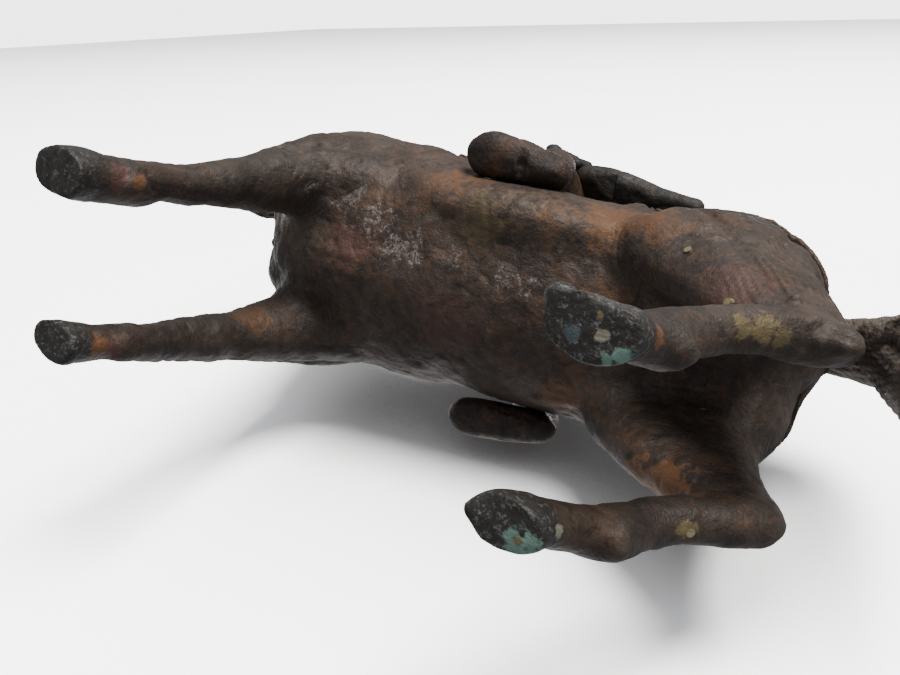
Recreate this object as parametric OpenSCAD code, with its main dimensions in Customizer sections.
// Standing bronze horse with a seated rider, cast in sections and doweled together.
// +X is the way the horse faces, +Y is its left side, and the hooves stand on z = 0.

/* [Horse] */
// Length of the trunk casting from breast to rump
trunk_l = 173.5; // [168:0.5:180]
// Width of the barrel at the girth
barrel_w = 68; // [66:0.5:69]
// Depth of the barrel at the girth
barrel_h = 60; // [58:0.5:62]
// Height of the middle of the trunk above the ground
trunk_z = 109; // [108:0.5:110]
// Thickness of the bronze round the core cavity
wall_t = 7; // [5:0.5:12]

/* [Tack] */
// Thickness of the saddle cloth
cloth_t = 1.2; // [0.8:0.1:1.6]
// Thickness of the harness straps
strap_t = 1; // [0.8:0.1:1.4]
// Width of the breast strap and the crupper strap
strap_w = 6; // [4:0.5:7]
// Height of the flat seat of the saddle above the ground
seat_z = 145; // [144.5:0.5:146]

/* [Rider] */
// Radius of the peg under the rider
peg_r = 4; // [3:0.5:4.5]
// Depth of the peg below the seat
peg_l = 14; // [10:1:16]
// Radial clearance of the peg in its bore
peg_clearance = 0.06; // [0.02:0.01:0.1]
// How far the rider lifts to come off the horse
lift_travel = 60; // [40:1:80]

/* [Dowels] */
// Radius of the dowels that join the castings
dowel_r = 2.6; // [2:0.1:3]
// Radius of the brass cross pins
pin_r = 0.9; // [0.6:0.1:1.1]

/* [Hidden] */

// Where the frame's origin lies: under the middle of the whole statue.
origin_x = -52.3;
origin_y = 0.35;

sides = 14;          // points round a ring
steps = 2;           // rings from one station to the next
breast_x = 17;       // the foremost point of the trunk, in the legs' own frame
bronze = [0.27, 0.18, 0.14];
dark_bronze = [0.16, 0.14, 0.13];
brass = [0.72, 0.58, 0.28];

// ---- Smooth shapes swept through stations ----

// A point on the smooth curve through p1 and p2, t from 0 to 1.
function curve(p0, p1, p2, p3, t) =
    0.5 * (2 * p1 + (p2 - p0) * t + (2 * p0 - 5 * p1 + 4 * p2 - p3) * t * t
        + (3 * p1 - p0 - 3 * p2 + p3) * t * t * t);

// Station lists with the rings between them filled in.
function smooth(list, n) = [
    for (i = [0 : len(list) - 2]) for (k = [0 : n - 1])
        curve(list[max(i - 1, 0)], list[i], list[i + 1], list[min(i + 2, len(list) - 1)], k / n),
    list[len(list) - 1]
];

function unit(v) = v / norm(v);

// The direction of the path at ring i.
function heading(rings, i) =
    let (a = rings[max(i - 1, 0)], b = rings[min(i + 1, len(rings) - 1)])
    unit([b[0] - a[0], b[1] - a[1], b[2] - a[2]]);

// A closed solid through rings [x, y, z, half side, half up], each ring square to `normal`, or to
// the path where no normal is given. `across` is the direction that the half side is measured in.
module loft(stations, normal = undef, across = [0, 1, 0], grow = 0, n = steps, m = sides) {
    rings = smooth(stations, n);
    count = len(rings);
    points = [
        for (i = [0 : count - 1])
            let (r = rings[i], d = is_undef(normal) ? heading(rings, i) : normal,
                s = unit(across - (across * d) * d), u = cross(s, d))
            for (k = [0 : m - 1])
                let (a = 360 * k / m)
                [r[0], r[1], r[2]] + (r[3] + grow) * cos(a) * s + (r[4] + grow) * sin(a) * u
    ];
    forward = is_undef(normal) ? 1
        : sign((rings[1][0] - rings[0][0]) * normal[0] + (rings[1][1] - rings[0][1]) * normal[1]
            + (rings[1][2] - rings[0][2]) * normal[2]);
    tube = [
        for (i = [0 : count - 2]) for (k = [0 : m - 1])
            let (a = i * m + k, b = i * m + (k + 1) % m, c = a + m, d = b + m)
            each (forward > 0 ? [[a, b, d], [a, d, c]] : [[a, d, b], [a, c, d]])
    ];
    low = [for (k = [0 : m - 1]) forward > 0 ? m - 1 - k : k];
    high = [for (k = [0 : m - 1]) (count - 1) * m + (forward > 0 ? k : m - 1 - k)];
    polyhedron(points, concat(tube, [low, high]));
}

// Cuts between sculpted castings are made once, as one closed skin.
module sculpted() resize([0, 0, 0]) children();

// Every node is placed with the frame's origin under the middle of the statue.
module placed(colour) translate([-origin_x, -origin_y, 0]) color(colour) children();

// The same stations on the other side of the horse.
function mirrored(list) = [for (s = list) [s[0], -s[1], s[2], s[3], s[4]]];

// ---- Stations ----

w = barrel_w / 2;
h = barrel_h / 2;
// Along the trunk from breast to rump: share of the length, sideways shift, rise of the middle,
// half width and half depth as shares of the girth's.
trunk_form = [
    [0.000, 0.0, 3.0, 0.20, 0.26], [0.024, 0.0, 2.0, 0.46, 0.56], [0.070, 0.0, 1.0, 0.62, 0.86],
    [0.133, 0.0, 1.0, 0.78, 1.02], [0.213, 0.0, 0.5, 0.98, 1.03], [0.305, 0.6, 0.0, 1.06, 1.00],
    [0.375, 0.0, -0.5, 1.02, 0.98], [0.430, -0.9, -0.5, 0.94, 0.97], [0.548, -0.9, -0.5, 0.93, 0.95],
    [0.657, -0.4, 1.5, 0.93, 0.92], [0.760, 0.8, 4.5, 0.86, 0.93], [0.859, 1.6, 7.0, 0.68, 0.90],
    [0.940, 1.8, 8.5, 0.48, 0.70], [0.983, 2.0, 9.5, 0.28, 0.38], [1.000, 2.0, 10.0, 0.10, 0.15]
];
trunk_path = [for (f = trunk_form)
    [breast_x - f[0] * trunk_l, f[1], trunk_z + f[2], f[3] * w, f[4] * h]];

// Neck and head: x, y, z, half width, half depth.
neck_path = [
    [-8, 0, 117, 18, 24], [6, 0, 133, 15, 22], [18, 0, 151, 12, 17.5], [27, 0, 168, 9.4, 13.5],
    [33, 0, 181, 8, 10.8], [36.5, 0, 189, 6.6, 8.5]
];
head_path = [
    [30, 0, 194.5, 4, 4.5], [34, 0, 194.5, 6.6, 8], [42, 0, 191, 8, 10.2], [50, 0, 183, 8.4, 10.6],
    [57.5, 0, 173, 6.8, 8.4], [64, 0, 163, 5.5, 6.4], [69, 0, 154.5, 5.1, 5.7],
    [72, 0, 149, 4.4, 4.8], [73.5, 0, 146, 2.6, 2.8]
];
mane_path = [
    [-19, 0, 142, 2.6, 5], [-9, 0, 148.5, 2.6, 7], [4, 0, 161, 2.4, 7.5], [14.5, 0, 174, 2.2, 7],
    [22, 0, 187, 2, 6.5], [29, 0, 198, 1.8, 5], [36, 0, 204, 1.4, 3]
];
ear_path = [
    [35, 4.4, 198, 2.2, 2.6], [34.5, 5.4, 202, 2.6, 3], [35, 6.6, 207, 1.9, 2.4],
    [36.5, 7.6, 212, 0.5, 0.6]
];
tail_path = [
    [-150, 2, 127, 4.5, 4.5], [-158, 2.6, 130, 6, 5.5], [-166, 5, 126, 8.4, 6.3], [-171, 7, 112, 10, 6.6],
    [-173.5, 8, 94, 10.6, 6.8], [-174.5, 8.4, 76, 9.8, 6.4], [-174, 8.4, 60, 7.6, 5.4], [-172, 8, 46, 3.8, 3.2]
];

// Legs from the ground up: x, y, z, half length fore and aft, half width.
left_fore = [
    [-5, 23.2, 0, 7.4, 5.2], [-5, 23, 6.5, 6.6, 5], [-6, 22.6, 12, 5.2, 4.6],
    [-6.5, 21.6, 20, 5.8, 5], [-5, 20.2, 28, 5, 4.8], [-3.5, 19, 38, 5.2, 5.5],
    [-2.5, 19.2, 48, 6.2, 6.2], [-2, 20.2, 60, 7.6, 7.8], [-2.5, 21.6, 72, 9.8, 9.4],
    [-4, 23, 85, 13.5, 11.6], [-6, 24, 100, 17, 13.6], [-8, 23.8, 115, 18, 13.8],
    [-9.5, 20.5, 128, 13, 10], [-10, 16, 136, 6, 5]
];
right_fore = [
    [-5, -14.6, 0, 6.6, 4.4], [-5, -14.8, 6.5, 5.9, 4.3], [-6, -15.8, 12, 4.9, 4.3],
    [-6.5, -17.6, 20, 5.5, 4.8], [-5, -19.8, 28, 4.9, 4.9], [-3.5, -22.2, 38, 5.2, 5.6],
    [-2.5, -23.6, 48, 6.2, 6.3], [-2, -24.8, 60, 7.6, 7.2], [-2.5, -25.2, 72, 9.8, 8.8],
    [-4, -25.6, 85, 13.5, 11.2], [-6, -26, 100, 17, 13.6], [-8, -25.4, 115, 18, 13.8],
    [-9.5, -21, 128, 13, 10], [-10, -16, 136, 6, 5]
];
left_hind = [
    [-126.5, 20.4, 0, 7.2, 5.2], [-127.5, 20, 6, 6.6, 5], [-130, 18.6, 12, 5.8, 4.7],
    [-132.5, 17.3, 20, 6.6, 5.1], [-137, 18.4, 28, 5.8, 4.3], [-143.5, 19.3, 36, 6.2, 4.2],
    [-151, 18.6, 44, 8.2, 4.7], [-153, 18.4, 50, 10, 5.4], [-148, 19, 57, 13.4, 6.2],
    [-140, 20.5, 67, 17, 7.8], [-132.5, 21.6, 79, 20, 9.8], [-127.5, 22.6, 91, 21.5, 12.4],
    [-127, 22.5, 105, 21.5, 13.8], [-127.5, 21, 119, 21, 13.4], [-129, 17.5, 131, 17, 10.5],
    [-129, 14, 139, 8, 5]
];
right_hind = [
    [-118.5, -15.4, 0, 7.4, 4.6], [-119.8, -16, 6, 6.8, 4.7], [-123.5, -18.4, 12, 5.9, 4.8],
    [-129.5, -20.6, 20, 6.7, 5], [-133.5, -20.6, 28, 5.8, 4.6], [-139, -20.4, 36, 6.4, 4.4],
    [-146.5, -20.8, 44, 8.4, 4.8], [-148.5, -21, 50, 10, 5.4], [-143.5, -21.4, 57, 13.8, 6.2],
    [-136, -22, 67, 17.4, 7.6], [-130, -22.4, 79, 20, 9.4], [-126.5, -21.8, 91, 21.8, 11.8],
    [-126.5, -20, 105, 22, 13.2], [-127.5, -18, 119, 21.5, 13.4], [-129, -15, 131, 17, 10.5],
    [-129, -11.5, 139, 8, 5]
];

// ---- Dowels and pins that join the castings ----

// Each dowel: bottom centre, direction, length.
fore_dowels = [[[-3, 21, 68], [0, -5, 36], 38], [[-3, -24, 68], [0, 8, 36], 38]];
hind_dowels = [[[-133, 19, 82], [0, -1, 26], 32], [[-133, -19, 82], [0, 3, 26], 32]];
dowel_fit = 0.02;    // radial room of a fixed dowel or pin in its bore
neck_joint = [[-3, 0, 120], [14, 0, 18], 30];
tail_joint = [[-146, 2, 126.5], [-1, 0, 0.35], 16];

module rod(joint, r) {
    d = unit(joint[1]);
    turn = acos(d[2]);
    axis = norm([d[0], d[1]]) < 0.001 ? [0, 0, 1] : [-d[1], d[0], 0];
    translate(joint[0]) rotate(a = turn, v = axis) cylinder(h = joint[2], r = r, $fn = 32);
}

// A brass cross pin runs through each leg and its dowel below the trunk: centre, half length.
cross_joints = [[[-3, 21.7, 73], 9.6], [[-3, -25.2, 73], 9], [[-133, 22.1, 86], 11.2], [[-133, -22.1, 86], 10.5]];
module cross_pin(j, r, more = 0) translate(j[0] - [0, j[1] + more, 0])
    rotate([-90, 0, 0]) cylinder(h = 2 * (j[1] + more), r = r, $fn = 20);

// Small brass core pins set flush in the hind legs: outer end, direction inward, length.
left_core_pins = [[[-122.87, 27.1, 72.4], [-0.43, -0.73, 0.53], 5], [[-136.2, 20.2, 55.9], [-0.57, -0.28, 0.77], 5]];
right_core_pins = [[[-143.4, -20.3, 33.2], [0.66, 0, 0.75], 5]];

// ---- Horse castings ----

module trunk_form(grow = 0) loft(trunk_path, normal = [1, 0, 0], grow = grow, m = 24);
module leg_form(stations, grow = 0) loft(stations, normal = [0, 0, 1], across = [1, 0, 0], grow = grow);
module all_legs(grow = 0) {
    leg_form(left_fore, grow);
    leg_form(right_fore, grow);
    leg_form(left_hind, grow);
    leg_form(right_hind, grow);
}

seat_x = -66;        // the middle of the seat
module peg_bore() translate([seat_x, 0, seat_z - peg_l - 1])
    cylinder(h = peg_l + 5, r = peg_r + peg_clearance, $fn = 48);

// The hollow left by the casting core, open only at the peg's hole.
module core_cavity() {
    loft([for (x = [-26, -34, -60, -88, -98])
        [x, 0, trunk_z - 1, (x < -90 || x > -30 ? 0.3 : 1) * (w - wall_t),
            (x < -90 || x > -30 ? 0.3 : 1) * (h - wall_t)]], normal = [1, 0, 0], n = 2, m = 16);
    translate([seat_x, 0, trunk_z]) cylinder(h = h + 10, r = peg_r - 1, $fn = 16);
}

module trunk() placed(bronze) difference() {
    sculpted() difference() {
        trunk_form();
        core_cavity();
    }
    peg_bore();
    for (j = concat(fore_dowels, hind_dowels, [neck_joint, tail_joint])) rod(j, dowel_r + dowel_fit);
    for (j = cross_joints) cross_pin(j, pin_r + dowel_fit, 3);
}

module leg(stations, dowel, pin, cores = []) placed(bronze) difference() {
    sculpted() difference() {
        leg_form(stations);
        trunk_form();
        loft(neck_path);
        loft(tail_path);
    }
    rod(dowel, dowel_r + dowel_fit);
    cross_pin(pin, pin_r + dowel_fit, 3);
    for (j = cores) rod(j, pin_r + dowel_fit);
}

module left_foreleg() leg(left_fore, fore_dowels[0], cross_joints[0]);
module right_foreleg() leg(right_fore, fore_dowels[1], cross_joints[1]);
module left_hindleg() leg(left_hind, hind_dowels[0], cross_joints[2], left_core_pins);
module right_hindleg() leg(right_hind, hind_dowels[1], cross_joints[3], right_core_pins);

module neck() placed(bronze) difference() {
    sculpted() difference() {
        loft(neck_path);
        trunk_form();
    }
    rod(neck_joint, dowel_r + dowel_fit);
}

module head() placed(bronze) sculpted() difference() {
    loft(head_path);
    loft(neck_path);
}

module mane() placed(bronze) sculpted() difference() {
    loft(mane_path, m = 10);
    loft(neck_path);
    loft(head_path);
    trunk_form();
}

module ear(stations) placed(bronze) sculpted() difference() {
    loft(stations, m = 10);
    loft(head_path);
    loft(neck_path);
    loft(mane_path, m = 10);
}
module left_ear() ear(ear_path);
module right_ear() ear(mirrored(ear_path));

module tail() placed(bronze) difference() {
    sculpted() difference() {
        loft(tail_path);
        trunk_form();
    }
    rod(tail_joint, dowel_r + dowel_fit);
}

module leg_dowels() placed(dark_bronze) difference() {
    for (j = concat(fore_dowels, hind_dowels)) rod(j, dowel_r);
    for (j = cross_joints) cross_pin(j, pin_r + dowel_fit, 3);
}
module neck_dowel() placed(dark_bronze) rod(neck_joint, dowel_r);
module tail_dowel() placed(dark_bronze) rod(tail_joint, dowel_r);
module cross_pins() placed(brass) for (j = cross_joints) cross_pin(j, pin_r);
module core_pins() placed(brass) for (j = concat(left_core_pins, right_core_pins)) rod(j, pin_r);

// ---- Tack ----

// The saddle cloth lies on the back and hangs to above the belly's widest line.
cloth_x = [-98, -36];
cloth_hem_z = 118;
module cloth_form(t) intersection() {
    trunk_form(t);
    translate([cloth_x[0], -60, cloth_hem_z]) cube([cloth_x[1] - cloth_x[0], 120, 60]);
}
module saddle_cloth() placed(bronze) difference() {
    sculpted() difference() {
        cloth_form(cloth_t);
        trunk_form();
        all_legs();
        loft(mane_path, m = 10);
    }
    peg_bore();
}

saddle_path = [
    [-40, 0, 146, 5, 6], [-44, 0, 144.5, 9, 8.5], [-52, 0, 139.5, 15, 8], [-66, 0, 138, 17, 8],
    [-80, 0, 139.5, 16.5, 8.5], [-88, 0, 145, 13.5, 9.5], [-93, 0, 149, 9, 7]
];
module saddle() placed(dark_bronze) difference() {
    sculpted() difference() {
        loft(saddle_path, normal = [1, 0, 0]);
        trunk_form(cloth_t);
        translate([seat_x - 16, -30, seat_z]) cube([32, 60, 30]);
    }
    peg_bore();
}

// A strap is a slab cut out of a skin that stands proud of the castings under it.
module strap(from, to, width = strap_w) {
    d = to - from;
    translate(from) rotate([0, -atan2(d[2], d[0]), 0])
        translate([0, -70, -width / 2]) cube([norm([d[0], 0, d[2]]), 140, width]);
}
module breast_strap() placed(dark_bronze) sculpted() difference() {
    intersection() {
        union() {
            trunk_form(strap_t);
            leg_form(left_fore, strap_t);
            leg_form(right_fore, strap_t);
            loft(neck_path, grow = strap_t);
        }
        strap([-35, 0, 126], [30, 0, 108]);
    }
    trunk_form();
    all_legs();
    loft(neck_path);
    cloth_form(cloth_t);
}
module crupper_strap() placed(dark_bronze) sculpted() difference() {
    intersection() {
        union() {
            trunk_form(strap_t);
            leg_form(left_hind, strap_t);
            leg_form(right_hind, strap_t);
        }
        strap([-162, 0, 112], [-98.5, 0, 127], strap_w + 2);
    }
    trunk_form();
    all_legs();
    loft(tail_path);
    cloth_form(cloth_t);
}

// Bridle bands square to the face: along the head's axis from the muzzle up.
face_top = [50, 0, 183];
face_end = [71, 0, 151];
face_turn = atan2(face_top[2] - face_end[2], face_top[0] - face_end[0]);
module face_band(along, tilt, width) translate(face_end + along * (face_top - face_end))
    rotate([0, -face_turn + tilt, 0]) translate([-width / 2, -20, -25]) cube([width, 40, 50]);
module bridle() placed(dark_bronze) sculpted() difference() {
    intersection() {
        loft(head_path, grow = 0.8);
        union() {
            face_band(0.3, 0, 2.6);
            face_band(1.22, 18, 2.6);
        }
    }
    loft(head_path);
    loft(neck_path);
    loft(mane_path, m = 10);
    loft(ear_path, m = 10);
    loft(mirrored(ear_path), m = 10);
}

rein_path = [
    [66.5, 3.4, 158, 0.9, 0.9], [62, 7, 157, 0.9, 0.9], [52, 10.5, 155, 0.9, 0.9], [38, 14.5, 154, 0.9, 0.9],
    [22, 17.6, 153, 0.9, 0.9], [4, 18.8, 151.5, 0.9, 0.9], [-12, 16, 152, 0.9, 0.9],
    [-24, 9, 155, 0.9, 0.9], [-29, 0, 156.6, 0.9, 0.9]
];
module reins() placed(dark_bronze) sculpted() difference() {
    union() {
        loft(rein_path, across = [0, 0, 1], n = 2, m = 8);
        loft(mirrored(rein_path), across = [0, 0, 1], n = 2, m = 8);
    }
    loft(neck_path);
    loft(head_path);
}

// ---- Rider ----

robe_path = [
    [-66, 0, seat_z, 15, 17], [-66, 0, 151, 14.5, 16.5], [-66, 0, 158, 11.5, 13.4], [-66, 0, 165, 10.8, 13],
    [-65.5, 0, 175, 11.4, 15.2], [-65, 0, 183, 10, 16.5], [-65, 0, 188, 7, 11.5], [-65, 0, 191, 4.4, 5]
];
head_form = [
    [-65, 0, 189, 3.9, 4], [-64.6, 0, 192, 4.3, 4.1], [-63.6, 0, 195, 6.4, 5], [-63.6, 0, 199, 7.6, 6.2],
    [-64, 0, 204, 8, 6.7], [-64.4, 0, 209, 7, 5.9], [-64.6, 0, 212, 3.6, 3]
];
left_leg_path = [
    [-68, 9, 151, 6.5, 7], [-66, 19, 151, 9, 8.6], [-62.5, 28, 147, 8.8, 8.6], [-62, 34.6, 138.5, 7.6, 7.2],
    [-66, 37.4, 128, 6.6, 6], [-71.5, 37.8, 116, 5.6, 5.2], [-74, 37.2, 104, 5, 4.6]
];
right_leg_path = [
    [-68, -9, 151, 6.5, 7], [-68, -19, 151, 9, 8.6], [-66.5, -29, 147, 8.8, 8.6], [-68, -36, 138.5, 7.6, 7.2],
    [-74, -38.6, 128, 6.6, 6], [-81, -39.2, 116, 5.6, 5.2], [-84, -38.6, 104, 5, 4.4]
];
left_boot_path = [
    [-79, 36.6, 101, 3, 3.2], [-77, 36.8, 100.4, 4.6, 4.6], [-71, 37.6, 99.4, 5.6, 5.4], [-64.5, 38.4, 98.2, 6.4, 5],
    [-58, 38.9, 97.6, 6.6, 4.6], [-54.8, 39, 97.8, 5, 3.8], [-53, 39, 98, 2.2, 2]
];
right_boot_path = [
    [-89, -38, 101, 2.6, 3], [-87, -38.2, 100.4, 4.2, 4.4], [-81, -38.6, 99.4, 5, 5.2], [-74, -38.9, 98.2, 5.4, 5],
    [-67, -39.2, 97.6, 5.6, 4.6], [-63.6, -39.2, 97.8, 4.4, 3.8], [-62, -39.2, 98, 2, 2]
];
arm_path = [
    [-64, 11, 183, 4.6, 5], [-62, 17.5, 180, 5.2, 5.4], [-57, 20.5, 171, 5.6, 5.6], [-49, 18.5, 164.5, 5.4, 5.2],
    [-40, 11.5, 162.5, 4.8, 4.8], [-34, 6, 162, 3.6, 3.6], [-30, 3.8, 161.6, 3.2, 3.2], [-28, 2.9, 161.4, 1.6, 1.6]
];

module thighs() {
    loft(left_leg_path, across = [1, 0, 0]);
    loft(right_leg_path, across = [1, 0, 0]);
}
module robe_form(grow = 0) loft(robe_path, normal = [0, 0, 1], across = [1, 0, 0], grow = grow);

// What the rider's parts keep clear of, at rest and on the way up.
gap = 0.5;
module clear_of_horse() {
    trunk_form(cloth_t + gap);
    loft(saddle_path, normal = [1, 0, 0], grow = gap);
    translate([seat_x - 16, -16, seat_z - 20]) cube([32, 32, 20]);
}

module rider_robe() placed(bronze) difference() {
    sculpted() difference() {
        robe_form();
        translate([seat_x - 40, -40, seat_z - 20]) cube([80, 80, 20]);
    }
    translate([seat_x, 0, seat_z - 1]) cylinder(h = 9, r = peg_r, $fn = 48);
}
module rider_belt() placed(dark_bronze) sculpted() difference() {
    intersection() {
        robe_form(1.1);
        translate([-100, -40, 158.5]) cube([80, 80, 4.4]);
    }
    robe_form();
    thighs();
}
module rider_head() placed(bronze) sculpted() difference() {
    loft(head_form, normal = [0, 0, 1], across = [1, 0, 0]);
    robe_form();
}
cap_profile = [[0, 205.5], [8.9, 205.5], [9.3, 206.6], [8.6, 209], [7.4, 212.5], [4.6, 216], [2.2, 217.5],
    [1.8, 219.6], [0, 220.4]];
module rider_cap() placed(dark_bronze) difference() {
    translate([-64.2, 0, 0]) rotate_extrude($fn = 40) polygon(cap_profile);
    loft(head_form, normal = [0, 0, 1], across = [1, 0, 0]);
}
module arm(stations) placed(bronze) sculpted() difference() {
    loft(stations, across = [0, 0, 1]);
    robe_form();
}
module rider_left_arm() arm(arm_path);
module rider_right_arm() arm(mirrored(arm_path));

module rider_leg(stations, boot) placed(bronze) sculpted() difference() {
    loft(stations, across = [1, 0, 0]);
    robe_form();
    clear_of_horse();
    loft(boot, across = [0, 1, 0]);
}
module rider_left_leg() rider_leg(left_leg_path, left_boot_path);
module rider_right_leg() rider_leg(right_leg_path, right_boot_path);
module left_boot() placed(dark_bronze) loft(left_boot_path);
module right_boot() placed(dark_bronze) loft(right_boot_path);

scabbard_path = [
    [-67, 35.4, 150.6, 4, 4.6], [-78, 35.8, 149.4, 4.3, 5], [-90, 34.6, 146, 3.7, 4.2],
    [-101, 33.4, 142.6, 2.6, 2.9], [-104, 33.1, 141.6, 3, 3.5], [-109, 32.8, 140.2, 2.9, 3.2]
];
module sword_scabbard() placed(dark_bronze) sculpted() difference() {
    loft(scabbard_path, m = 12);
    loft(left_leg_path, across = [1, 0, 0]);
}
hilt_path = [
    [-69, 38.8, 151, 2, 2.6], [-67.4, 39.2, 151.4, 3, 5.6], [-66, 39.4, 151.8, 3, 5.6],
    [-64.8, 39.6, 152.1, 1.6, 2], [-58, 41.2, 153.6, 1.6, 2], [-55, 42, 154.4, 2.4, 2.8], [-53, 42.5, 155, 1.4, 1.6]
];
module sword_hilt() placed(brass) sculpted() difference() {
    loft(hilt_path, m = 10);
    loft(scabbard_path, m = 12);
    loft(left_leg_path, across = [1, 0, 0]);
}

module rider_peg() placed(brass) translate([seat_x, 0, seat_z - peg_l])
    cylinder(h = peg_l + 8, r = peg_r, $fn = 48);

trunk();
neck();
head();
mane();
left_ear();
right_ear();
tail();
left_foreleg();
right_foreleg();
left_hindleg();
right_hindleg();
leg_dowels();
neck_dowel();
tail_dowel();
cross_pins();
core_pins();
saddle_cloth();
saddle();
breast_strap();
crupper_strap();
bridle();
reins();
rider_robe();
rider_belt();
rider_head();
rider_cap();
rider_left_arm();
rider_right_arm();
rider_left_leg();
rider_right_leg();
left_boot();
right_boot();
sword_scabbard();
sword_hilt();
rider_peg();
